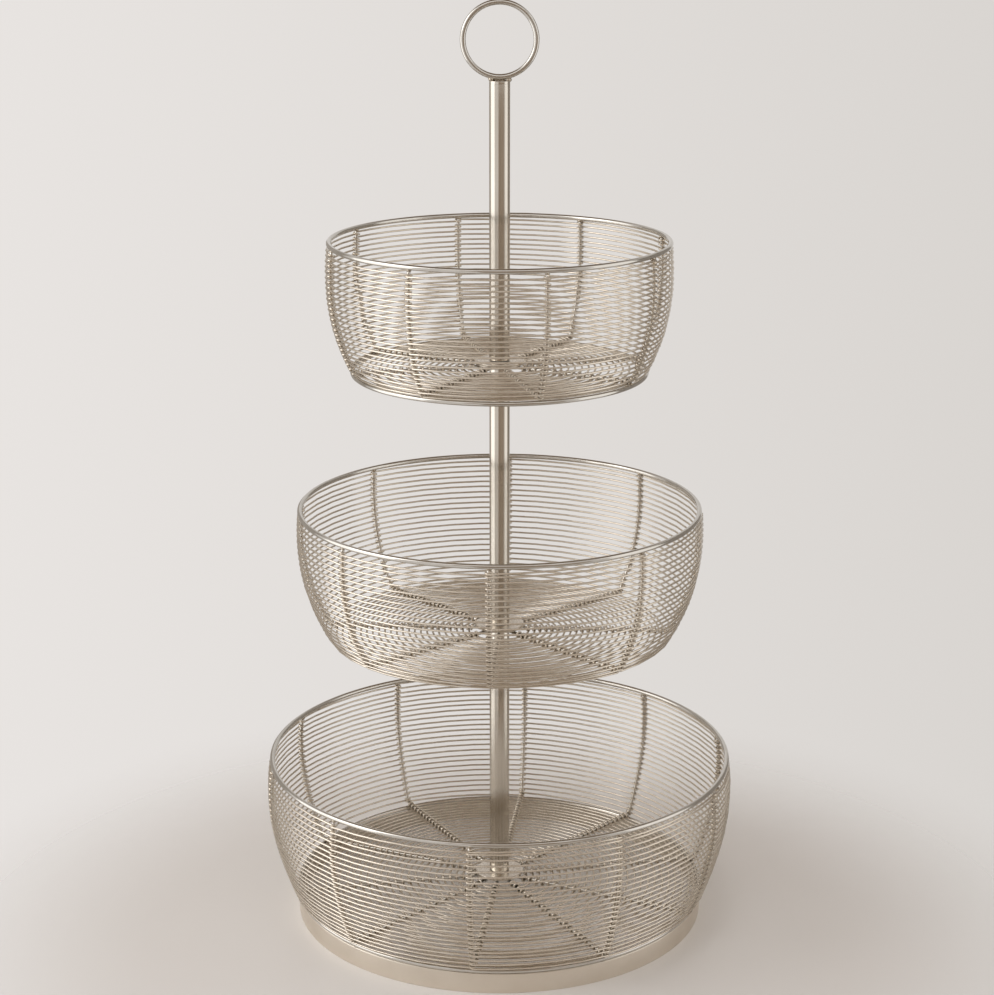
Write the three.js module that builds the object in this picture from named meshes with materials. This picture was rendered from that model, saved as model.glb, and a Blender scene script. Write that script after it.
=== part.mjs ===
// Tiered stand: three round wire baskets on a tube pole that screws together in sections.
// Millimetres, +Z up. The origin is on the table, at the middle of the base band.
// Each basket has a rim wire, ribs bent from the wall into the floor, a hub disc on the rib ends,
// and a fine wire wound round the ribs, one winding on the wall and one under the floor.
import * as THREE from 'three';

// Gap kept between pieces that touch
const CLEARANCE = 0.3;

// Pole, of three equal sections from the bottom hub up to the handle
const POLE_DIAMETER = 12.7;
const POLE_WALL = 1.2;
const POLE_SECTION_LENGTH = 168.8;
const CAP_THICKNESS = 1.5;
const CAP_SPIGOT_LENGTH = 8;

// Screws that draw the sections together through the hubs
const THREAD_DIAMETER = 5;
const THREAD_ENGAGEMENT = 8;
const THREAD_CHAMFER = 0.6;
const INSERT_LENGTH = 12;
const BOLT_HEAD_DIAMETER = 9;
const BOLT_HEAD_HEIGHT = 3.5;
const WASHER_DIAMETER = 12;
const WASHER_THICKNESS = 1.2;

// Ring handle, outside diameter and wire
const HANDLE_DIAMETER = 47.5;
const HANDLE_WIRE = 3.5;

// Wires, discs and strip that every basket shares
const RIM_WIRE = 3.2;
const RIB_WIRE = 2.2;
const RIB_END_GAP = 1.5;
const CORNER_BEND = 2.5;
const HUB_DIAMETER = 31;
const HUB_THICKNESS = 2;

// Fine wire, drawn with every second turn of the real winding
const WRAP_WIRE = 1.3;
const WRAP_FLOOR_PITCH = 9.1;
const WRAP_BELOW_RIM = 4.6;

// Base band under the bottom basket, and foot rings under the corners of the bottom and top ones
const BAND_HEIGHT = 13;
const BAND_THICKNESS = 1.6;
const BAND_INSET = 1.5;
const FOOT_RING_WIRE = 3;
const BASE_RING_INSET = 1.8;
const TOP_RING_INSET = 0.4;

// Baskets. Diameters and depth are to wire centres, firstRib is degrees from the front towards +X.
// The wall leaves the rim by shoulderOut and shoulderDown and meets the floor by heelOut and heelUp.
// wallPitch is the rise of the fine wire from turn to turn on the wall.
const TOP_BASKET = {
  name: 'top',
  rimDiameter: 208.4,
  floorDiameter: 182.6,
  depth: 77.3,
  shoulderOut: 2.6,
  shoulderDown: 30.2,
  heelOut: 12.3,
  heelUp: 24.8,
  ribs: 8,
  firstRib: 15,
  wallPitch: 6.5,
};
const MIDDLE_BASKET = {
  name: 'middle',
  rimDiameter: 251,
  floorDiameter: 215.6,
  depth: 80.3,
  shoulderOut: 2.5,
  shoulderDown: 29.6,
  heelOut: 15.3,
  heelUp: 25,
  ribs: 8,
  firstRib: -3,
  wallPitch: 7.2,
};
const BOTTOM_BASKET = {
  name: 'bottom',
  rimDiameter: 293.6,
  floorDiameter: 266,
  depth: 86.7,
  shoulderOut: 5.1,
  shoulderDown: 30.8,
  heelOut: 10,
  heelUp: 25,
  ribs: 10,
  firstRib: -7,
  wallPitch: 7.2,
};

// Facet counts
const ROUND_STEPS = 24;
const HUB_STEPS = 30;
const BAND_STEPS = 60;
const RING_STEPS = 44;
const WIRE_SIDES = 6;
const RIB_STEPS = 7;
const WRAP_SIDES = 3;
const WRAP_STEPS_PER_PANEL = 2;

// Finishes
const NICKEL = { color: '#b8aea0', roughness: 0.34, metalness: 1 };
const ZINC = { color: '#a9abab', roughness: 0.45, metalness: 1 };

// Sizes that follow from the driving dimensions
const poleRadius = POLE_DIAMETER / 2;
const poleBore = poleRadius - POLE_WALL;
const plugRadius = poleBore - CLEARANCE;
const threadRadius = THREAD_DIAMETER / 2;
const threadBore = threadRadius + CLEARANCE;
const ribEndRadius = poleRadius + RIB_END_GAP;
const hubAboveFloor = RIB_WIRE / 2 + CLEARANCE;
const poleAboveFloor = hubAboveFloor + HUB_THICKNESS + CLEARANCE;
const tierRise = POLE_SECTION_LENGTH + HUB_THICKNESS + 2 * CLEARANCE;
const wrapOffset = (RIB_WIRE + WRAP_WIRE) / 2 + CLEARANCE;

const footRingBelowFloor = (RIB_WIRE + FOOT_RING_WIRE) / 2 + CLEARANCE;
const bottomFloor = BAND_HEIGHT + CLEARANCE + FOOT_RING_WIRE / 2 + footRingBelowFloor;
const middleFloor = bottomFloor + tierRise;
const topFloor = middleFloor + tierRise;
const lowerPoleFoot = bottomFloor + poleAboveFloor;
const middlePoleFoot = middleFloor + poleAboveFloor;
const upperPoleFoot = topFloor + poleAboveFloor;
const capSeat = upperPoleFoot + POLE_SECTION_LENGTH + CLEARANCE;
const handleCentre = capSeat + CAP_THICKNESS + CLEARANCE + HANDLE_DIAMETER / 2;

const bandOuterRadius = BOTTOM_BASKET.floorDiameter / 2 - BAND_INSET;
const bandInnerRadius = bandOuterRadius - BAND_THICKNESS;
const baseRingRadius = BOTTOM_BASKET.floorDiameter / 2 - BASE_RING_INSET;
const topRingRadius = TOP_BASKET.floorDiameter / 2 - TOP_RING_INSET;

/** One named solid with a finish of its own. */
function piece(name, geometry, finish) {
  const mesh = new THREE.Mesh(geometry, new THREE.MeshStandardMaterial(finish));
  mesh.name = name;
  return mesh;
}

/** A turned piece about +Z from a closed outline of [radius, height] points, anticlockwise. */
function turned(outline, steps) {
  const points = [...outline, outline[0]].map(([radius, height]) => new THREE.Vector2(radius, height));
  return new THREE.LatheGeometry(points, steps).rotateX(Math.PI / 2);
}

/** A turned tube or disc with a bore. */
function sleeve(inner, outer, bottom, top, steps) {
  return turned([[inner, bottom], [outer, bottom], [outer, top], [inner, top]], steps);
}

/** A wire of round section through a list of points. Its rings are mitred and its ends closed. */
function wire(points, diameter, sides, up) {
  const positions = [];
  const faces = [];
  const last = points.length - 1;
  points.forEach((point, i) => {
    const before = points[Math.max(i - 1, 0)];
    const after = points[Math.min(i + 1, last)];
    const arriving = (i > 0 ? point.clone().sub(before) : after.clone().sub(point)).normalize();
    const leaving = (i < last ? after.clone().sub(point) : point.clone().sub(before)).normalize();
    const along = arriving.clone().add(leaving).normalize();
    const across = up.clone().cross(along).normalize();
    const level = along.clone().cross(across);
    across.divideScalar(along.dot(leaving));
    for (let k = 0; k < sides; k += 1) {
      const angle = (2 * Math.PI * k) / sides;
      const vertex = point.clone()
        .addScaledVector(across, (diameter / 2) * Math.cos(angle))
        .addScaledVector(level, (diameter / 2) * Math.sin(angle));
      positions.push(...vertex.toArray());
    }
  });
  for (let i = 0; i < last; i += 1) {
    for (let k = 0; k < sides; k += 1) {
      const a = i * sides + k;
      const b = i * sides + ((k + 1) % sides);
      faces.push(a, b, b + sides, a, b + sides, a + sides);
    }
  }
  for (let k = 1; k < sides - 1; k += 1) {
    faces.push(0, k + 1, k);
    faces.push(last * sides, last * sides + k, last * sides + k + 1);
  }
  const geometry = new THREE.BufferGeometry();
  geometry.setAttribute('position', new THREE.Float32BufferAttribute(positions, 3));
  geometry.setIndex(faces);
  return geometry;
}

/** The line of a rib down the wall, as radius and height, from under the rim to the floor corner. */
function wallCurve(basket) {
  const rim = new THREE.Vector2(basket.rimDiameter / 2, basket.depth - RIM_WIRE / 2 - CLEARANCE);
  const corner = new THREE.Vector2(basket.floorDiameter / 2, 0);
  const shoulder = new THREE.Vector2(rim.x + basket.shoulderOut, rim.y - basket.shoulderDown);
  const heel = new THREE.Vector2(corner.x + basket.heelOut, basket.heelUp);
  return new THREE.CubicBezierCurve(rim, shoulder, heel, corner);
}

/** Points of one rib in the XZ plane: down the wall, round the corner and in along the floor. */
function ribPoints(basket) {
  const wall = wallCurve(basket);
  const wallShare = 1 - CORNER_BEND / wall.getLength();
  const points = [];
  for (let i = 0; i <= RIB_STEPS; i += 1) {
    const { x, y } = wall.getPointAt((wallShare * i) / RIB_STEPS);
    points.push(new THREE.Vector3(x, 0, y));
  }
  const corner = new THREE.Vector3(basket.floorDiameter / 2, 0, 0);
  const onFloor = new THREE.Vector3(corner.x - CORNER_BEND, 0, 0);
  const bend = new THREE.QuadraticBezierCurve3(points.at(-1), corner, onFloor);
  points.push(bend.getPoint(0.5), onFloor, new THREE.Vector3(ribEndRadius, 0, 0));
  return points;
}

/** Points of a winding that starts on the first rib. place gives radius and height at a run in mm. */
function windingPoints(basket, run, pitch, place) {
  const stepsPerTurn = basket.ribs * WRAP_STEPS_PER_PANEL;
  const steps = Math.floor((run / pitch) * stepsPerTurn);
  const points = [];
  for (let i = 0; i <= steps; i += 1) {
    const [radius, height] = place((i * pitch) / stepsPerTurn);
    const angle = (2 * Math.PI * i) / stepsPerTurn;
    points.push(new THREE.Vector3(radius * Math.cos(angle), radius * Math.sin(angle), height));
  }
  return points;
}

/** Winding on the outside of the ribs, from under the rim down to the corner bend. */
function wallWinding(basket) {
  const wall = wallCurve(basket);
  const length = wall.getLength();
  const start = WRAP_BELOW_RIM - RIM_WIRE / 2 - CLEARANCE;
  return windingPoints(basket, length - CORNER_BEND - start, basket.wallPitch, (run) => {
    const share = (start + run) / length;
    const onRib = wall.getPointAt(share);
    const slope = wall.getTangentAt(share);
    return [onRib.x - slope.y * wrapOffset, onRib.y + slope.x * wrapOffset];
  });
}

/** Flat winding under the floor ribs, from the floor's edge in to the hub. */
function floorWinding(basket, edge) {
  const start = edge - CLEARANCE - WRAP_WIRE / 2;
  const end = HUB_DIAMETER / 2 + WRAP_WIRE;
  return windingPoints(basket, start - end, WRAP_FLOOR_PITCH, (run) => [start - run, -wrapOffset]);
}

/** Prints the least gap between turns of a winding, measured from point to point. */
function reportLeastGap(name, points, stepsPerTurn) {
  let least = Infinity;
  points.forEach((point, i) => {
    for (let j = i + stepsPerTurn / 2; j < points.length; j += 1) {
      least = Math.min(least, point.distanceTo(points[j]));
    }
  });
  console.log(`${name}: least gap between turns ${(least - WRAP_WIRE).toFixed(2)} mm`);
}

/** One winding as a named solid. */
function windingPiece(name, basket, points) {
  reportLeastGap(name, points, basket.ribs * WRAP_STEPS_PER_PANEL);
  return piece(name, wire(points, WRAP_WIRE, WRAP_SIDES, new THREE.Vector3(0, 0, 1)), NICKEL);
}

/** A whole basket with its floor ribs at floorHeight. floorEdge is the room for the floor winding. */
function basketGroup(basket, floorHeight, floorEdge) {
  const group = new THREE.Group();
  group.position.z = floorHeight;
  group.rotation.z = THREE.MathUtils.degToRad(basket.firstRib - 90);

  const rimRing = new THREE.TorusGeometry(basket.rimDiameter / 2, RIM_WIRE / 2, WIRE_SIDES, RING_STEPS);
  const rim = piece(`${basket.name}_rim`, rimRing, NICKEL);
  rim.position.z = basket.depth;
  group.add(rim);

  const hubDisc = sleeve(threadBore, HUB_DIAMETER / 2, 0, HUB_THICKNESS, HUB_STEPS);
  const hub = piece(`${basket.name}_hub`, hubDisc, NICKEL);
  hub.position.z = hubAboveFloor;
  group.add(hub);

  const line = ribPoints(basket);
  for (let k = 0; k < basket.ribs; k += 1) {
    const bent = wire(line, RIB_WIRE, WIRE_SIDES, new THREE.Vector3(0, 1, 0));
    const rib = piece(`${basket.name}_rib_${k + 1}`, bent, NICKEL);
    rib.rotation.z = (2 * Math.PI * k) / basket.ribs;
    group.add(rib);
  }

  group.add(windingPiece(`${basket.name}_wall_wire`, basket, wallWinding(basket)));
  group.add(windingPiece(`${basket.name}_floor_wire`, basket, floorWinding(basket, floorEdge)));
  return group;
}

/** One pole section with a threaded insert flush with each end that is asked for. */
function poleSection(name, foot, inserts) {
  const group = new THREE.Group();
  group.position.z = foot;
  const tube = sleeve(poleBore, poleRadius, 0, POLE_SECTION_LENGTH, ROUND_STEPS);
  group.add(piece(name, tube, NICKEL));
  const bottoms = { bottom: 0, top: POLE_SECTION_LENGTH - INSERT_LENGTH };
  inserts.forEach((end) => {
    const plug = sleeve(threadBore, plugRadius, 0, INSERT_LENGTH, ROUND_STEPS);
    const insert = piece(`${name}_${end}_insert`, plug, ZINC);
    insert.position.z = bottoms[end];
    group.add(insert);
  });
  return group;
}

/** A headless screw through a hub, with its ends chamfered, held alike in both inserts. */
function stud(name, hubBottom) {
  const bottom = hubBottom - CLEARANCE - THREAD_ENGAGEMENT;
  const top = hubBottom + HUB_THICKNESS + CLEARANCE + THREAD_ENGAGEMENT;
  const tip = threadRadius - THREAD_CHAMFER;
  const outline = [
    [0, bottom], [tip, bottom], [threadRadius, bottom + THREAD_CHAMFER],
    [threadRadius, top - THREAD_CHAMFER], [tip, top], [0, top],
  ];
  return piece(name, turned(outline, ROUND_STEPS), ZINC);
}

/** Washer and bolt that hold the lower pole down on the bottom hub. */
function baseFastening(hubBottom) {
  const group = new THREE.Group();
  const washerTop = hubBottom - CLEARANCE;
  const washerBottom = washerTop - WASHER_THICKNESS;
  const washer = sleeve(threadBore, WASHER_DIAMETER / 2, washerBottom, washerTop, ROUND_STEPS);
  group.add(piece('base_washer', washer, ZINC));

  const headTop = washerBottom - CLEARANCE;
  const headBottom = headTop - BOLT_HEAD_HEIGHT;
  const shankTop = lowerPoleFoot + THREAD_ENGAGEMENT;
  const headRadius = BOLT_HEAD_DIAMETER / 2;
  const outline = [
    [0, headBottom], [headRadius - THREAD_CHAMFER, headBottom], [headRadius, headBottom + THREAD_CHAMFER],
    [headRadius, headTop], [threadRadius, headTop], [threadRadius, shankTop - THREAD_CHAMFER],
    [threadRadius - THREAD_CHAMFER, shankTop], [0, shankTop],
  ];
  group.add(piece('base_bolt', turned(outline, ROUND_STEPS), ZINC));
  return group;
}

/** Cap pressed into the top of the pole, with the ring handle standing on it and facing the front. */
function handleGroup() {
  const group = new THREE.Group();
  const cap = [
    [0, -CAP_SPIGOT_LENGTH], [plugRadius, -CAP_SPIGOT_LENGTH], [plugRadius, 0],
    [poleRadius, 0], [poleRadius, CAP_THICKNESS], [0, CAP_THICKNESS],
  ];
  const poleCap = piece('pole_cap', turned(cap, ROUND_STEPS), NICKEL);
  poleCap.position.z = capSeat;
  group.add(poleCap);

  const handleRadius = (HANDLE_DIAMETER - HANDLE_WIRE) / 2;
  const ring = new THREE.TorusGeometry(handleRadius, HANDLE_WIRE / 2, WIRE_SIDES, RING_STEPS);
  const handle = piece('ring_handle', ring, NICKEL);
  handle.position.z = handleCentre;
  handle.rotation.x = Math.PI / 2;
  group.add(handle);
  return group;
}

/** Flat strip ring that the whole stand rests on. */
function baseBand() {
  return piece('base_band', sleeve(bandInnerRadius, bandOuterRadius, 0, BAND_HEIGHT, BAND_STEPS), NICKEL);
}

/** Thicker wire ring under the corner of a basket. */
function footRing(name, radius, floorHeight) {
  const ring = new THREE.TorusGeometry(radius, FOOT_RING_WIRE / 2, WIRE_SIDES, RING_STEPS);
  const foot = piece(name, ring, NICKEL);
  foot.position.z = floorHeight - footRingBelowFloor;
  return foot;
}

/** Room for a floor winding inside the flats of a foot ring. */
function insideRing(radius) {
  return (radius - FOOT_RING_WIRE / 2) * Math.cos(Math.PI / RING_STEPS);
}

const stand = new THREE.Group();
stand.add(baseBand());
stand.add(baseFastening(bottomFloor + hubAboveFloor));
stand.add(footRing('base_foot_ring', baseRingRadius, bottomFloor));
stand.add(basketGroup(BOTTOM_BASKET, bottomFloor, insideRing(baseRingRadius)));
stand.add(poleSection('lower_pole', lowerPoleFoot, ['bottom', 'top']));
stand.add(stud('lower_stud', middleFloor + hubAboveFloor));
stand.add(basketGroup(MIDDLE_BASKET, middleFloor, MIDDLE_BASKET.floorDiameter / 2 - CORNER_BEND));
stand.add(poleSection('middle_pole', middlePoleFoot, ['bottom', 'top']));
stand.add(stud('upper_stud', topFloor + hubAboveFloor));
stand.add(basketGroup(TOP_BASKET, topFloor, insideRing(topRingRadius)));
stand.add(footRing('top_foot_ring', topRingRadius, topFloor));
stand.add(poleSection('upper_pole', upperPoleFoot, ['bottom']));
stand.add(handleGroup());

export default stand;
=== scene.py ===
"""Tiered stand of three wire-wound baskets on a nickel tube pole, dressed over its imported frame.

Sizes in the tables and functions are millimetres, and put_up turns them into metres.
An azimuth is counted from the front, which faces -Y, towards +X.
"""

import bpy
import numpy as np
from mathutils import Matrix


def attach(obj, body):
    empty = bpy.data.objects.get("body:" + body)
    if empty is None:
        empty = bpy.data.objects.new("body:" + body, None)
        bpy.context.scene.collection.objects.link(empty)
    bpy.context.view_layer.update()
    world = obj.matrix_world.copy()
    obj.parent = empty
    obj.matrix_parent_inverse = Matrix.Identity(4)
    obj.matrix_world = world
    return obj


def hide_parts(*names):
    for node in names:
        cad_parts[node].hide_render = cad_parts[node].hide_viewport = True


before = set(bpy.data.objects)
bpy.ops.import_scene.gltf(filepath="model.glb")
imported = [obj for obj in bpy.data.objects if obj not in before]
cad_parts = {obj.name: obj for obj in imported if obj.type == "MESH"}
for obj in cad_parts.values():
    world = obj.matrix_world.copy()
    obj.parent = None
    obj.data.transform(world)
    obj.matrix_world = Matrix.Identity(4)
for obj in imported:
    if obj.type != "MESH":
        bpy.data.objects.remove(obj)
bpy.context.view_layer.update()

# Baskets: height of the ribs in the floor, radii of rim and floor, depth, how the wall leaves the rim (out, down)
# and meets the floor (out, up), ribs, azimuth of the first rib, body, the fine wire's pitch on the wall and on the
# floor, the outermost radius of the floor winding, the node and radius of the foot ring, and the seed of whatever
# is uneven.
BASKETS = {
    "bottom": dict(floor=17.7, rim=146.8, base=133.0, depth=86.7, shoulder=(5.1, 30.8), heel=(10.0, 25.0),
                   ribs=10, first=-7.0, body="base", pitch=(3.6, 4.5), edge=128.4,
                   foot=("base_foot_ring", 131.2), seed=3),
    "middle": dict(floor=189.1, rim=125.5, base=107.8, depth=80.3, shoulder=(2.5, 29.6), heel=(15.3, 25.0),
                   ribs=8, first=-3.0, body="middle_basket", pitch=(3.6, 3.85), edge=105.8,
                   foot=None, seed=5),
    "top": dict(floor=360.5, rim=104.2, base=91.3, depth=77.3, shoulder=(2.6, 30.2), heel=(12.3, 24.8),
                ribs=8, first=15.0, body="top_basket", pitch=(3.25, 4.25), edge=88.1,
                foot=("top_foot_ring", 90.9), seed=8),
}

# Rims, ribs and foot rings
RIM_RADIUS, RIB_RADIUS, FOOT_RING_RADIUS = 1.6, 1.1, 1.5
RING_STEPS, RING_SIDES, RIB_SIDES = 144, 12, 10
RIM_SEAM, FOOT_RING_SEAM = np.radians([171.0, 170.0])
RIM_GAP = 0.3              # from the rim to the place where the wall's curve starts
CORNER_BEND = 2.5          # how far from the corner a rib starts to bend
RIB_END = 7.85             # radius at which a rib ends, under the hub
FOOT_RING_DROP = 2.9       # from the ribs of a floor down to the middle of the foot ring

# Winding of the fine wire
FINE_RADIUS = 0.63
FINE_LAY = 1.34            # how far one loop round a rib moves along it, a little over the wire's diameter
WRAP_RADIUS = RIB_RADIUS + FINE_RADIUS + 0.02
FIRST_TURN = 3.5           # below the middle of the rim
CORNER_GAP = 0.3           # from the last turn of a wall to the middle of the corner
HUB_GAP = 1.9              # from the last turn of a floor to the edge of the hub
LOOP_STEPS, SPAN_STEPS, FINE_SIDES = 8, 5, 6
CROSSING_WAVER, RUN_WAVER, OUT_WAVER = 0.08, 0.12, 0.09
WALL_FLAT, FLOOR_FLAT = 0.10, 0.06

# Hubs, pole, screws, band and handle
HUB_RADIUS, HUB_LOW, HUB_HIGH = 15.5, 1.4, 3.4
POLE_RADIUS, POLE_BORE, PLUG_RADIUS = 6.35, 5.15, 4.85
POLE_FOOT, POLE_LENGTH = 3.7, 168.8
INSERT_LENGTH, SCREW_HOLE = 12, 2.8
THREAD_RADIUS, THREAD_DEPTH, THREAD_PITCH = 2.5, 0.5, 0.8
STUD_LOW, SCREW_HIGH = -6.9, 11.7                          # counted from a floor
WASHER_RADIUS, WASHER_LOW, WASHER_HIGH = 6.0, -0.1, 1.1    # counted from the bottom floor, as are the bolt's
BOLT_RADIUS, BOLT_LOW, BOLT_HIGH = 4.5, -3.9, -0.4
SOCKET_RADIUS, SOCKET_LOW, SOCKET_HIGH = 2.0, -3.8, -1.9
BAND_INNER, BAND_OUTER, BAND_HEIGHT = 129.9, 131.5, 13.0
CAP_LOW, CAP_SEAT, CAP_HIGH = -7.7, 0.02, 1.8              # counted from the top of the pole
CAP_MIDDLE = 1.0                                           # radius of the flat faces that close the cap
HANDLE_RADIUS, HANDLE_REACH, HANDLE_RISE = 1.75, 22, 25.85
POLE_SIDES, HUB_SIDES, PLUG_SIDES, BOLT_SIDES, STUD_SIDES, BAND_SIDES = 64, 72, 40, 48, 24, 288
HANDLE_STEPS, HANDLE_SIDES = 128, 14

# Weld beads: how far they reach out, round and up, and where they sit on what they join
RIM_BEAD, HUB_BEAD, FOOT_BEAD, BAND_BEAD = (1.45, 1.75, 1.25), (2.2, 1.2, 0.5), (1.3, 1.3, 0.7), (0.8, 1.9, 0.6)
RIM_BEAD_RUN, HUB_BEAD_RUN, HUB_BEAD_RISE = 1.55, 3.6, 1.2
FOOT_BEAD_INSET, FOOT_BEAD_RISE = 0.4, 0.1
BAND_BEAD_RADIUS, BAND_BEAD_RISE = 131.0, 0.15
BAND_BEAD_SEED, HANDLE_BEAD_SEED = 21, 31

UP, BACK = np.array([0, 0, 1.0]), np.array([0, 1.0, 0])


# Shapes

def unit(vectors):
    """Each vector divided by its length."""
    return vectors / np.linalg.norm(vectors, axis=-1, keepdims=True)


def full_turn(steps):
    """Equal steps round a circle, in radians, without the last, which is the first again."""
    return np.linspace(0, 2 * np.pi, steps, endpoint=False)


def outwards(azimuth):
    """Level direction away from the pole at an azimuth: sine along X, minus cosine along Y."""
    return np.stack([np.sin(azimuth), -np.cos(azimuth), 0 * azimuth], -1)


def sideways(azimuth):
    """Level direction round the pole at an azimuth: cosine along X, sine along Y."""
    return np.stack([np.cos(azimuth), np.sin(azimuth), 0 * azimuth], -1)


def rounds(path, radius, up, sides, looped=False):
    """Rings of a round wire on paths shaped (wires, steps, 3). A ring stands square to the mean of the
    directions that arrive and leave, and each of its points is the path plus radius times cosine across and sine
    along up."""
    if looped:
        arriving, leaving = path - np.roll(path, 1, 1), np.roll(path, -1, 1) - path
    else:
        step = np.diff(path, axis=1)
        arriving, leaving = np.concatenate([step[:, :1], step], 1), np.concatenate([step, step[:, -1:]], 1)
    along = unit(unit(arriving) + unit(leaving))
    across = unit(np.cross(np.broadcast_to(up, along.shape), along))
    level = np.cross(along, across)
    turn = full_turn(sides)[:, None]
    circle = np.cos(turn) * across[:, :, None] + np.sin(turn) * level[:, :, None]
    return path[:, :, None] + np.asarray(radius)[..., None, None] * circle


def turned(outline, sides, reach=None):
    """Rings of a turned piece: each (radius, height) of the outline carried round the pole in equal steps.
    reach, if given, is a table of radii by outline point and step that takes the place of the outline's."""
    radius = np.repeat(outline[:, :1], sides, 1) if reach is None else reach
    points = radius[..., None] * outwards(full_turn(sides))
    points[..., 2] = outline[:, 1:]
    return points[None]


def eased(corners, bend, steps=5, closed=True):
    """An outline with its corners rounded: each corner gives way to a quadratic curve that starts and ends a
    bend's length away from it, with the corner as its middle control point."""
    corners = np.asarray(corners, float)
    bend = np.broadcast_to(np.asarray(bend, float), len(corners))[:, None]
    before, after = np.roll(corners, 1, 0), np.roll(corners, -1, 0)
    start, end = corners + bend * unit(before - corners), corners + bend * unit(after - corners)
    t = np.linspace(0, 1, steps)[None, :, None]
    curve = (1 - t) ** 2 * start[:, None] + 2 * t * (1 - t) * corners[:, None] + t ** 2 * end[:, None]
    if closed:
        return curve.reshape(-1, 2)
    return np.concatenate([corners[:1], curve[1:-1].reshape(-1, 2), corners[-1:]])


def collar(inner, outer, low, high, bend):
    """Outline of a collar with eased edges: a rectangle between two radii and two heights, which starts at the
    inner low corner and goes out, up and back in."""
    return eased([[inner, low], [outer, low], [outer, high], [inner, high]], bend)


def beads(centres, azimuth, size, seed, rows=7, sides=10):
    """Weld beads: ellipsoids of the given size (out, round, up) at the centres, turned to their azimuths, each
    radius swollen or shrunk by a few sines with seeded phases so that no two are alike. The first and last rows
    lie 0.35 radians from the poles, so that the beads end flat above and below."""
    rng = np.random.default_rng(seed)
    down = np.linspace(0.35, np.pi - 0.35, rows)[None, :, None]
    turn = full_turn(sides)[None, None]
    phase = rng.uniform(0, 2 * np.pi, (3, len(centres), 1, 1))
    lump = 1 + 0.10 * np.sin(2 * turn + phase[0]) + 0.07 * np.sin(3 * turn + 2 * down + phase[1]) \
        + 0.08 * np.sin(2 * down + phase[2])
    size = np.broadcast_to(np.asarray(size, float), (len(centres), 3))[:, None, None]
    ball = lump[..., None] * size * np.stack(
        [np.sin(down) * np.cos(turn), np.sin(down) * np.sin(turn), np.cos(down) + 0 * turn], -1)
    out, side = outwards(azimuth)[:, None, None], sideways(azimuth)[:, None, None]
    return centres[:, None, None] + ball[..., :1] * out + ball[..., 1:2] * side + ball[..., 2:] * UP


def run_along(line):
    """Length of a line of points from its start to each of them."""
    return np.append(0, np.cumsum(np.linalg.norm(np.diff(line, axis=0), axis=1)))


def rib_azimuths(basket):
    """Azimuths of a basket's ribs, in equal steps from the first."""
    return np.radians(basket["first"] + 360 / basket["ribs"] * np.arange(basket["ribs"]))


def rib_line(basket):
    """Table of a rib by its run from the middle of the rim: run, radius, height, and the direction it goes; and
    the run at the middle of its corner. The wall is a cubic curve, the corner a quadratic one, and the floor a
    straight line in to the hub."""
    t = np.linspace(0, 1, 900)[:, None]
    top = np.array([basket["rim"], basket["depth"] - RIM_RADIUS - RIM_GAP])
    corner = np.array([basket["base"], 0.0])
    shoulder, heel = top + np.multiply(basket["shoulder"], (1, -1)), corner + basket["heel"]
    wall = (1 - t) ** 3 * top + 3 * t * (1 - t) ** 2 * shoulder + 3 * t ** 2 * (1 - t) * heel + t ** 3 * corner
    gone = run_along(wall)
    wall = wall[gone < gone[-1] - CORNER_BEND]
    bend = (1 - t) ** 2 * wall[-1] + 2 * t * (1 - t) * corner + t ** 2 * (corner - (CORNER_BEND, 0))
    line = np.concatenate([[[basket["rim"], basket["depth"]]], wall, bend[1:], [[RIB_END, 0]]])
    run = run_along(line)
    even = np.linspace(0, run[-1], 3000)
    place = np.stack([np.interp(even, run, line[:, 0]), np.interp(even, run, line[:, 1])], 1)
    table = np.column_stack([even, place, unit(np.gradient(place, axis=0))])
    return table, run[[len(wall), len(line) - 2]].mean()


def on_ribs(table, floor, run, azimuth, out=0.0, around=0.0, inward=0.0):
    """Points and rib directions at a run and azimuth: the rib's own place, plus out along the basket's outer
    normal, around along the level direction round the pole, and less inward towards the pole."""
    radius, height, go_out, go_up = (np.interp(run, table[:, 0], table[:, k]) for k in range(1, 5))
    radius, height = radius - out * go_up - inward, height + out * go_out
    points = radius[..., None] * outwards(azimuth) + np.asarray(around)[..., None] * sideways(azimuth)
    points[..., 2] += height + floor
    along = go_out[..., None] * outwards(azimuth)
    along[..., 2] += go_up
    return points, along


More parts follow.
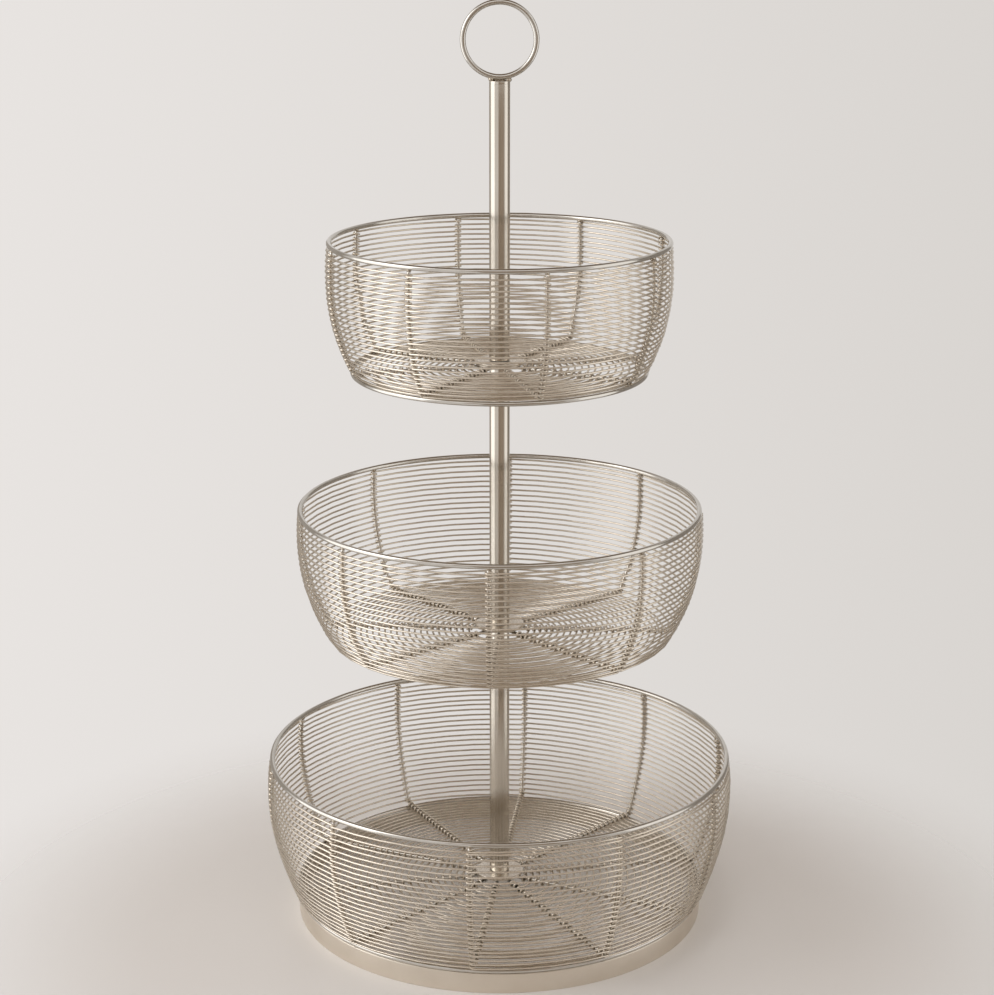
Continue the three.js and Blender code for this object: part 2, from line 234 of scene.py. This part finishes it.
def winding(basket, table, first, last, pitch, flat, seed):
    """The fine wire as rings. It crosses the ribs in turn, the run growing by the pitch over each full turn, and
    starts and ends with half a turn or a little more at one run. At a crossing it makes one loop round the rib,
    out by the wrap radius times the cosine and round by its sine, while it moves one lay along the rib. Between
    ribs it runs along the circle, drawn in towards the straight chord by the share flat. Crossings and spans
    waver a little, by seeded amounts, so that the turns are not quite even."""
    rng = np.random.default_rng(seed)
    ribs = basket["ribs"]
    climb = (last - first) / pitch * ribs
    settled = ribs - 4
    count = int(climb) + 2 * settled
    cross = np.arange(count + 1)
    shift = CROSSING_WAVER * rng.standard_normal(count + 1).clip(-1.5, 1.5)
    mid = first + (cross - settled).clip(0, climb) * pitch / ribs + shift
    mid, after = mid[:-1, None], mid[1:, None]
    azimuth = (np.radians(basket["first"]) + cross[:-1] * 2 * np.pi / ribs)[:, None]
    turn = full_turn(LOOP_STEPS)[None]
    span = np.linspace(0, 1, SPAN_STEPS, endpoint=False)[None]
    bow = 4 * span * (1 - span)
    waver = rng.standard_normal((2, count, 1)).clip(-2, 2)
    run = np.concatenate([mid + FINE_LAY * (turn / (2 * np.pi) - 0.5),
                          (mid + FINE_LAY / 2) * (1 - span) + (after - FINE_LAY / 2) * span
                          + RUN_WAVER * waver[0] * bow], 1)
    out = np.concatenate([WRAP_RADIUS * np.cos(turn) + 0 * mid, WRAP_RADIUS + OUT_WAVER * waver[1] * bow], 1)
    around = np.concatenate([WRAP_RADIUS * np.sin(turn) + 0 * mid, 0 * bow + 0 * mid], 1)
    angle = np.concatenate([azimuth + 0 * turn, azimuth + span * 2 * np.pi / ribs], 1)
    radius = np.interp(mid, table[:, 0], table[:, 1])
    inward = np.concatenate([0 * turn + 0 * mid, flat * radius * (1 - np.cos(np.pi / ribs)) * bow], 1)
    as_one = (steps.reshape(1, -1) for steps in (run, angle, out, around, inward))
    points, along = on_ribs(table, basket["floor"], *as_one)
    return rounds(points[:, :-SPAN_STEPS], FINE_RADIUS, along[:, :-SPAN_STEPS], FINE_SIDES)


def rib_set(basket, table, bend_run):
    """All ribs of a basket as rings: one sample of the rib line at each azimuth, with 22 steps down the wall, 9
    close together round the corner and 5 along the floor."""
    run = np.concatenate([np.linspace(1.0, bend_run - 3, 22), np.linspace(bend_run - 2.4, bend_run + 2.4, 9),
                          np.linspace(bend_run + 6, table[-1, 0], 5)])[None]
    azimuth = rib_azimuths(basket)[:, None]
    points, _ = on_ribs(table, basket["floor"], run + 0 * azimuth, azimuth + 0 * run)
    return rounds(points, RIB_RADIUS, sideways(azimuth + 0 * run), RIB_SIDES)


def ring(radius, height, wire, seam):
    """A round wire bent to a level circle, with its butt weld a little fatter: the wire's radius grows by a
    twelfth in a bell curve two wire radii wide at the azimuth of the seam."""
    azimuth = full_turn(RING_STEPS)
    path = radius * outwards(azimuth) + (0, 0, height)
    away = radius * np.abs((azimuth - seam + np.pi) % (2 * np.pi) - np.pi)
    swollen = wire * (1 + np.exp(-(away / (2 * wire)) ** 2) / 12)
    return rounds(path[None], swollen[None], UP, RING_SIDES, looped=True)


def thread(bottom, top, sides):
    """A screw shank: its radius falls from crest to root and back once a pitch along the height less the turn,
    and both ends taper to the root over one pitch."""
    height = np.arange(bottom, top + 1e-6, THREAD_PITCH / 8)
    turn = np.linspace(0, 1, sides, endpoint=False)
    wave = np.abs(2 * ((height[:, None] / THREAD_PITCH - turn) % 1) - 1)
    end = np.minimum(height - bottom, top - height)[:, None] / THREAD_PITCH
    reach = THREAD_RADIUS - THREAD_DEPTH * np.maximum(wave, 1 - end.clip(0, 1))
    return turned(np.column_stack([0 * height, height]), sides, reach)


# Finishes

def linear(code):
    """A colour's sRGB hex code as linear red, green, blue and a full alpha."""
    value = np.array([int(code[k:k + 2], 16) for k in (1, 3, 5)]) / 255
    value = np.where(value <= 0.04045, value / 12.92, ((value + 0.055) / 1.055) ** 2.4)
    return (*value.tolist(), 1.0)


def add(tree, kind, inputs=None, **settings):
    """Adds one node, gives it its settings, and sets or links its inputs."""
    made = tree.nodes.new(kind)
    for name, value in settings.items():
        setattr(made, name, value)
    for socket, value in (inputs or {}).items():
        if isinstance(value, bpy.types.NodeSocket):
            tree.links.new(value, made.inputs[socket])
        else:
            made.inputs[socket].default_value = value
    return made


def metal(name, light, dark, smooth, rough, patch_mm, grain_mm, stretch, depth_mm, run):
    """A metal in two close tones that drift in patches of patch_mm, with a roughness that drifts along fine
    lines and a bump of the same lines, grain_mm apart and stretch times as long as wide. run says which way of
    the piece's own UV map, in mm, the lines go: along its grids or around them."""
    made = bpy.data.materials.new(name)
    made.use_nodes = True
    tree = made.node_tree
    tree.nodes.clear()
    place = add(tree, "ShaderNodeTexCoord")
    patch = add(tree, "ShaderNodeTexNoise", {"Vector": place.outputs["Object"], "Scale": 1000 / patch_mm,
                                             "Detail": 3.0, "Roughness": 0.6})
    fine, long = 1 / grain_mm, 1 / (grain_mm * stretch)
    scale = (long, fine, 1.0) if run == "along" else (fine, long, 1.0)
    lines = add(tree, "ShaderNodeMapping", {"Vector": place.outputs["UV"], "Scale": scale})
    grain = add(tree, "ShaderNodeTexNoise", {"Vector": lines.outputs[0], "Scale": 1.0,
                                             "Detail": 2.0, "Roughness": 0.55})
    tone = add(tree, "ShaderNodeMix", {"Factor": patch.outputs["Fac"], "A": linear(dark), "B": linear(light)},
               data_type="RGBA")
    gloss = add(tree, "ShaderNodeMapRange", {"Value": grain.outputs["Fac"], "From Min": 0.3, "From Max": 0.7,
                                             "To Min": smooth, "To Max": rough})
    bump = add(tree, "ShaderNodeBump", {"Height": grain.outputs["Fac"], "Strength": 0.5,
                                        "Distance": depth_mm / 1000})
    shader = add(tree, "ShaderNodeBsdfPrincipled", {
        "Base Color": tone.outputs["Result"], "Metallic": 1.0, "Roughness": gloss.outputs["Result"],
        "Normal": bump.outputs["Normal"]})
    add(tree, "ShaderNodeOutputMaterial", {"Surface": shader.outputs[0]})
    return made


# Nickel plate over drawn steel wire: bright and warm, a little softened by the die lines along its length. The
# lines are really 0.05 mm apart, and are drawn at 0.25 mm on the fine wire and 0.3 mm on the bar so that they
# show.
FINE_WIRE = metal("bright_nickel_on_fine_drawn_wire", "#E7DFD3", "#D2C7B7", 0.20, 0.31, 9, 0.25, 60, 0.008,
                  "along")
BAR_WIRE = metal("bright_nickel_on_drawn_bar", "#D7D4CE", "#BFBAB2", 0.08, 0.16, 12, 0.3, 80, 0.004, "along")
# Nickel plate over polished welded tube: sharp upright reflections, with belt lines along the pole that are
# really 0.03 mm apart and are drawn at 0.4 mm.
POLE_TUBE = metal("polished_nickel_on_steel_tube", "#D8D2C8", "#CAC3B7", 0.10, 0.17, 30, 0.4, 120, 0.003,
                  "along")
# Nickel plate over rolled strip: satin, because the strip keeps the lines of its rolling, drawn at 0.5 mm.
STRIP = metal("satin_nickel_on_rolled_strip", "#E8E0D4", "#DAD0C2", 0.32, 0.42, 25, 0.5, 150, 0.004, "around")
# Nickel plate over punched sheet: flat and satin, with faint marks round the punch.
SHEET = metal("satin_nickel_on_punched_sheet", "#F3EDE4", "#E4DCD0", 0.20, 0.32, 6, 0.5, 30, 0.01, "around")
# Plated weld metal: lumpy and duller than the wires that it joins.
WELD = metal("nickel_on_weld_metal", "#CFC5B6", "#9C9182", 0.26, 0.45, 1.5, 0.6, 2, 0.06, "along")
# Zinc plate on turned screws: a cool, slightly milky grey.
ZINC = metal("zinc_plate_on_turned_steel", "#C9CCCD", "#A0A4A6", 0.30, 0.46, 3, 0.3, 12, 0.01, "around")


def put_up(name, grids, finish, body, nodes=(), looped=False):
    """Makes a piece of grids shaped (pieces, steps, sides, 3), each closed round its sides. Looped grids close
    on themselves, and others get flat end faces. The UV map holds the lengths along and around, in mm. Faces are
    turned outwards by the sign of the volume that they enclose."""
    count, steps, sides, _ = grids.shape
    index = np.arange(count * steps * sides).reshape(count, steps, sides)
    near, far = (index, np.roll(index, -1, 1)) if looped else (index[:, :-1], index[:, 1:])
    quads = np.stack([near, np.roll(near, -1, 2), np.roll(far, -1, 2), far], -1).reshape(-1, 4)
    caps = np.zeros((0, sides), int) if looped else np.concatenate([index[:, 0, ::-1], index[:, -1]])
    flat = grids.reshape(-1, 3)
    a, b, c, d = (flat[quads[:, k]] for k in range(4))
    volume = (a * (np.cross(b, c) + np.cross(c, d))).sum()
    for k in range(1, sides - 1):
        volume += (flat[caps[:, 0]] * np.cross(flat[caps[:, k]], flat[caps[:, k + 1]])).sum()

    ahead = np.roll(grids, -1, 1) if looped else grids[:, 1:]
    stride = np.linalg.norm(ahead - grids[:, :ahead.shape[1]], axis=-1).mean(-1)
    along = np.concatenate([np.zeros((count, 1)), np.cumsum(stride, 1)], 1)
    girth = np.linalg.norm(np.roll(grids, -1, 2) - grids, axis=-1).sum(-1).mean()
    grid = np.arange(count)[:, None, None]
    row, side = np.arange(ahead.shape[1])[None, :, None], np.arange(sides)[None, None]
    corners = [(row, side), (row, side + 1), (row + 1, side + 1), (row + 1, side)]
    uv = np.stack([np.stack(np.broadcast_arrays(along[grid, r], girth * s / sides), -1) for r, s in corners], -2)
    uv = uv.reshape(-1, 4, 2)
    cap_turn = full_turn(sides)
    cap_uv = girth / 6 * np.stack([np.cos(cap_turn), np.sin(cap_turn)], -1)
    if volume < 0:
        quads, caps, uv = quads[:, ::-1], caps[:, ::-1], uv[:, ::-1]
    uv = np.concatenate([uv.reshape(-1, 2), np.tile(cap_uv, (len(caps), 1))])

    mesh = bpy.data.meshes.new(name)
    mesh.vertices.add(len(flat))
    mesh.vertices.foreach_set("co", (flat / 1000).astype(np.float32).ravel())
    mesh.loops.add(quads.size + caps.size)
    mesh.loops.foreach_set("vertex_index", np.concatenate([quads.ravel(), caps.ravel()]).astype(np.int32))
    mesh.polygons.add(len(quads) + len(caps))
    starts = np.concatenate([4 * np.arange(len(quads)), quads.size + sides * np.arange(len(caps))])
    mesh.polygons.foreach_set("loop_start", starts.astype(np.int32))
    mesh.polygons.foreach_set("use_smooth", np.arange(len(starts)) < len(quads))
    mesh.uv_layers.new(name="UVMap").data.foreach_set("uv", uv.astype(np.float32).ravel())
    mesh.update(calc_edges=True)
    mesh.validate()
    mesh.materials.append(finish)
    piece = bpy.data.objects.new(name, mesh)
    bpy.context.scene.collection.objects.link(piece)
    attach(piece, body)
    if nodes:
        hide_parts(*nodes)


# Baskets

for tier, basket in BASKETS.items():
    floor, body, ribs, seed = basket["floor"], basket["body"], basket["ribs"], basket["seed"]
    wall_pitch, floor_pitch = basket["pitch"]
    table, bend_run = rib_line(basket)
    end = table[-1, 0]
    azimuths = rib_azimuths(basket)

    put_up(f"{tier}_rim_wire", ring(basket["rim"], floor + basket["depth"], RIM_RADIUS, RIM_SEAM), BAR_WIRE, body,
           [f"{tier}_rim"], looped=True)
    put_up(f"{tier}_ribs", rib_set(basket, table, bend_run), BAR_WIRE, body,
           [f"{tier}_rib_{k + 1}" for k in range(ribs)])
    put_up(f"{tier}_wall_winding",
           winding(basket, table, FIRST_TURN, bend_run - CORNER_GAP, wall_pitch, WALL_FLAT, seed),
           FINE_WIRE, body, [f"{tier}_wall_wire"])
    put_up(f"{tier}_floor_winding",
           winding(basket, table, end - (basket["edge"] - RIB_END), end - (HUB_RADIUS + HUB_GAP - RIB_END),
                   floor_pitch, FLOOR_FLAT, seed + 1),
           FINE_WIRE, body, [f"{tier}_floor_wire"])

    disc = collar(SCREW_HOLE, HUB_RADIUS, HUB_LOW, HUB_HIGH, 0.45)
    put_up(f"{tier}_hub_disc", turned(disc + (0, floor), HUB_SIDES), SHEET, body, [f"{tier}_hub"],
           looped=True)

    at_rim = on_ribs(table, floor, np.full(ribs, RIM_BEAD_RUN), azimuths)[0]
    at_hub = on_ribs(table, floor, np.full(ribs, end - HUB_BEAD_RUN), azimuths)[0] + (0, 0, HUB_BEAD_RISE)
    put_up(f"{tier}_rim_welds", beads(at_rim, azimuths, RIM_BEAD, seed), WELD, body)
    put_up(f"{tier}_hub_welds", beads(at_hub, azimuths, HUB_BEAD, seed + 2), WELD, body)

    if basket["foot"]:
        node, radius = basket["foot"]
        height = floor - FOOT_RING_DROP
        put_up(f"{node}_wire", ring(radius, height, FOOT_RING_RADIUS, FOOT_RING_SEAM), BAR_WIRE, body,
               [node], looped=True)
        on_foot = (0, 0, height + FOOT_RING_RADIUS + FOOT_BEAD_RISE)
        at_foot = (radius - FOOT_BEAD_INSET) * outwards(azimuths) + on_foot
        put_up(f"{node}_welds", beads(at_foot, azimuths, FOOT_BEAD, seed + 4), WELD, body)


# Base band, with its welds to the foot ring. The butt weld of the strip stands 0.12 mm proud on both faces, in a
# narrow bell curve at the back.

band = collar(BAND_INNER, BAND_OUTER, 0, BAND_HEIGHT, [0.5, 0.5, 0.8, 0.5])
seam_away = BAND_OUTER * np.abs(full_turn(BAND_SIDES) - np.pi)
faces = np.where(band[:, :1] > (BAND_INNER + BAND_OUTER) / 2, 1, -1)
band_reach = band[:, :1] + 0.12 * np.exp(-(seam_away / 1.2) ** 2) * faces
put_up("base_band_strip", turned(band, BAND_SIDES, band_reach), STRIP, "base", ["base_band"],
       looped=True)
weld_azimuths = rib_azimuths(BASKETS["bottom"])
at_band = BAND_BEAD_RADIUS * outwards(weld_azimuths) + (0, 0, BAND_HEIGHT + BAND_BEAD_RISE)
put_up("base_band_welds", beads(at_band, weld_azimuths, BAND_BEAD, BAND_BEAD_SEED), WELD, "base")


# Pole sections with their threaded inserts, studs, bolt and washer. The top edge of a section is eased by the
# fourth value, which is small where the cap closes it.

for name, body, tier, ease, inserts in (("lower_pole", "base", "bottom", 0.3, ("bottom", "top")),
                                        ("middle_pole", "middle_pole", "middle", 0.3, ("bottom", "top")),
                                        ("upper_pole", "upper_pole", "top", 0.04, ("bottom",))):
    foot = BASKETS[tier]["floor"] + POLE_FOOT
    head = foot + POLE_LENGTH
    tube = collar(POLE_BORE, POLE_RADIUS, foot, head, [0.3, 0.3, ease, ease])
    put_up(f"{name}_tube", turned(tube, POLE_SIDES), POLE_TUBE, body, [name], looped=True)
    for which in inserts:
        lowest = foot if which == "bottom" else head - INSERT_LENGTH
        plug = collar(SCREW_HOLE, PLUG_RADIUS, lowest, lowest + INSERT_LENGTH, 0.4)
        put_up(f"{name}_{which}_threaded_insert", turned(plug, PLUG_SIDES), ZINC, body,
               [f"{name}_{which}_insert"], looped=True)

for stud, tier in (("lower", "middle"), ("upper", "top")):
    level = BASKETS[tier]["floor"]
    put_up(f"{stud}_screw_stud", thread(level + STUD_LOW, level + SCREW_HIGH, STUD_SIDES), ZINC, f"{stud}_stud",
           [f"{stud}_stud"])

level = BASKETS["bottom"]["floor"]
washer = collar(SCREW_HOLE, WASHER_RADIUS, WASHER_LOW, WASHER_HIGH, 0.25)
put_up("base_plain_washer", turned(washer + (0, level), PLUG_SIDES), ZINC, "base", ["base_washer"],
       looped=True)

# The bolt: a hexagon socket in a round head, then the threaded shank. A hexagon's radius at a turn is its inner
# radius over the cosine of the turn from the middle of the nearest side.
socket = SOCKET_RADIUS / np.cos((full_turn(BOLT_SIDES) + np.pi / 6) % (np.pi / 3) - np.pi / 6)
bolt_head = eased([[2.3, BOLT_LOW], [BOLT_RADIUS, BOLT_LOW], [BOLT_RADIUS, BOLT_HIGH], [2.4, BOLT_HIGH]],
                  [0.05, 0.6, 0.4, 0.05], closed=False)
bolt_outline = np.concatenate([[[0, SOCKET_HIGH], [0, SOCKET_LOW]], bolt_head]) + (0, level)
bolt_reach = np.concatenate([socket[None], socket[None], np.repeat(bolt_head[:, :1], BOLT_SIDES, 1)])
bolt_rings = turned(bolt_outline, BOLT_SIDES, bolt_reach)[0]
shank = thread(level + BOLT_HIGH, level + SCREW_HIGH, BOLT_SIDES)[0]
put_up("base_socket_bolt", np.concatenate([bolt_rings, shank])[None], ZINC, "base", ["base_bolt"])


# Cap and ring handle, with a bead at each side of the cap and a long one between them

pole_top = BASKETS["top"]["floor"] + POLE_FOOT + POLE_LENGTH
cap = eased([[CAP_MIDDLE, CAP_LOW], [PLUG_RADIUS, CAP_LOW], [PLUG_RADIUS, CAP_SEAT], [POLE_RADIUS, CAP_SEAT],
             [POLE_RADIUS, CAP_HIGH], [CAP_MIDDLE, CAP_HIGH]], [0.1, 0.4, 0.1, 0.04, 0.5, 0.1], closed=False)
put_up("pole_end_cap", turned(cap + (0, pole_top), POLE_SIDES), POLE_TUBE, "upper_pole", ["pole_cap"])
handle_turn = full_turn(HANDLE_STEPS)
handle_path = np.stack([HANDLE_REACH * np.sin(handle_turn), 0 * handle_turn,
                        pole_top + HANDLE_RISE - HANDLE_REACH * np.cos(handle_turn)], -1)
put_up("ring_handle_wire", rounds(handle_path[None], HANDLE_RADIUS, BACK, HANDLE_SIDES, looped=True), BAR_WIRE,
       "upper_pole", ["ring_handle"], looped=True)
at_handle = np.array([[-5.0, 0, 2.4], [5.5, 0, 2.1], [0, 0.3, 1.95]]) + (0, 0, pole_top)
handle_beads = [[2.1, 1.9, 1.5], [1.7, 1.9, 1.35], [4.4, 1.1, 0.5]]
put_up("ring_handle_welds", beads(at_handle, np.full(3, np.pi / 2), handle_beads, HANDLE_BEAD_SEED), WELD,
       "upper_pole")


# Camera, at the place that the pole's taper and the rim ellipses of the view give. Its focal length and the width
# of the view are in pixels, the sensor in mm, its place in metres and its pitch in radians below the level.

FOCAL_LENGTH, VIEW_WIDTH, SENSOR_WIDTH = 2289.8, 994, 36.0
CAMERA_PLACE, CAMERA_PITCH = (-0.0016, -1.3858, 0.66866), 0.2765
lens = bpy.data.cameras.new("photo_camera")
lens.sensor_fit, lens.sensor_width = "HORIZONTAL", SENSOR_WIDTH
lens.lens = FOCAL_LENGTH / VIEW_WIDTH * SENSOR_WIDTH
camera = bpy.data.objects.new("photo_camera", lens)
camera.location = CAMERA_PLACE
camera.rotation_euler = (np.pi / 2 - CAMERA_PITCH, 0, 0)
bpy.context.scene.collection.objects.link(camera)
bpy.context.scene.camera = camera


# Stage, in metres: a pale floor that fades into the backdrop, four soft boxes, and grey and brown cards that only
# the metal sees

def panel(name, corners, colour, rough, shows):
    """A flat card of the stage between four corners. Gives its material."""
    mesh = bpy.data.meshes.new(name)
    mesh.from_pydata(corners, [], [(0, 1, 2, 3)])
    made = bpy.data.materials.new(name)
    made.use_nodes = True
    shader = made.node_tree.nodes["Principled BSDF"]
    shader.inputs["Base Color"].default_value = linear(colour)
    shader.inputs["Roughness"].default_value = rough
    mesh.materials.append(made)
    card = bpy.data.objects.new(name, mesh)
    bpy.context.scene.collection.objects.link(card)
    card.visible_camera = shows
    return made


ground = panel("studio_floor", [(-0.9, -0.9, 0), (0.9, -0.9, 0), (0.9, 0.9, 0), (-0.9, 0.9, 0)], "#F7F5F3", 0.45,
               True).node_tree
place = add(ground, "ShaderNodeTexCoord")
away = add(ground, "ShaderNodeVectorMath", {0: place.outputs["Object"], 1: (0, -0.06, 0)}, operation="DISTANCE")
fade = add(ground, "ShaderNodeMapRange", {"Value": away.outputs["Value"], "From Min": 0.20, "From Max": 0.42,
                                          "To Min": 0.0, "To Max": 1.0}, interpolation_type="SMOOTHSTEP")
gone = add(ground, "ShaderNodeBsdfTransparent")
mixed = add(ground, "ShaderNodeMixShader", {0: fade.outputs["Result"], 2: gone.outputs[0],
                                            1: ground.nodes["Principled BSDF"].outputs[0]})
ground.links.new(mixed.outputs[0], ground.nodes["Material Output"].inputs["Surface"])


def card_at(name, start, stop, distance, low, high, colour):
    """An upright card of the stage between two azimuths, hidden from the camera but not from reflections."""
    a, b = distance * outwards(np.radians([start, stop]))
    panel(name, [(*a[:2], low), (*b[:2], low), (*b[:2], high), (*a[:2], high)], colour, 0.9, False)


card_at("dark_card_under_the_camera", -13, 10, 2.3, -1.6, 0.62, "#B9AC9E")
card_at("brown_card_under_the_camera", 10, 50, 2.3, -1.6, 0.62, "#BDB0A2")
card_at("brown_card_behind_the_camera", -26, 28, 2.5, 0.70, 1.8, "#B4A290")
card_at("grey_card_at_the_right", 100, 152, 2.3, -1.6, 1.6, "#A8A39D")
card_at("grey_card_at_the_left", -165, -120, 2.3, -1.6, 1.6, "#CCC8C3")


def soft_box(name, azimuth, lift, distance, height, width, tall, radiance):
    """A rectangular lamp that faces a point of the pole at a height, from an azimuth and a lift above the level,
    both in degrees. Its power is pi times its area times the radiance that it shows."""
    lamp = bpy.data.lights.new(name, "AREA")
    lamp.shape, lamp.size, lamp.size_y = "RECTANGLE", width, tall
    lamp.energy = np.pi * width * tall * radiance
    made = bpy.data.objects.new(name, lamp)
    azimuth, lift = np.radians([azimuth, lift])
    made.location = distance * (np.cos(lift) * outwards(azimuth) + (0, 0, np.sin(lift))) + (0, 0, height)
    made.rotation_euler = (np.pi / 2 - lift, 0, azimuth)
    bpy.context.scene.collection.objects.link(made)


soft_box("soft_box_at_the_left", -83, 0, 1.54, 0.55, 1.47, 2.2, 1.0)
soft_box("soft_box_high_at_the_left", -74, 32, 1.45, 0.4, 0.95, 0.9, 1.2)
soft_box("soft_box_at_the_right", 79, 0, 1.54, 0.55, 1.0, 2.2, 0.55)
soft_box("soft_box_above_the_camera", 0, 48, 1.9, 0.3, 2.2, 0.9, 0.35)

# The backdrop is a little darker towards the right, and a brown patch of ceiling overhead is darker still. The
# camera looks down, so the ceiling shows only in the metal.
world = bpy.data.worlds.new("pale_studio")
world.use_nodes = True
backdrop = world.node_tree
sky = add(backdrop, "ShaderNodeTexCoord").outputs["Generated"]
towards = add(backdrop, "ShaderNodeSeparateXYZ", {0: sky})
share = add(backdrop, "ShaderNodeMapRange", {"Value": towards.outputs["X"], "From Min": -0.22, "From Max": 0.22})
tone = add(backdrop, "ShaderNodeMix", {"Factor": share.outputs["Result"], "A": linear("#E8E4E1"),
                                       "B": linear("#D9D5D1")}, data_type="RGBA")
overhead = add(backdrop, "ShaderNodeVectorMath", {0: sky, 1: (0.0, 0.26, 0.97)}, operation="DOT_PRODUCT")
rise = add(backdrop, "ShaderNodeMapRange", {"Value": overhead.outputs["Value"], "From Min": 0.64,
                                            "From Max": 0.90}, interpolation_type="SMOOTHSTEP")
room = add(backdrop, "ShaderNodeMix", {"Factor": rise.outputs["Result"], "A": tone.outputs["Result"],
                                       "B": linear("#76624F")}, data_type="RGBA")
backdrop.links.new(room.outputs["Result"], backdrop.nodes["Background"].inputs["Color"])
bpy.context.scene.world = world
bpy.context.scene.view_settings.view_transform = "Standard"
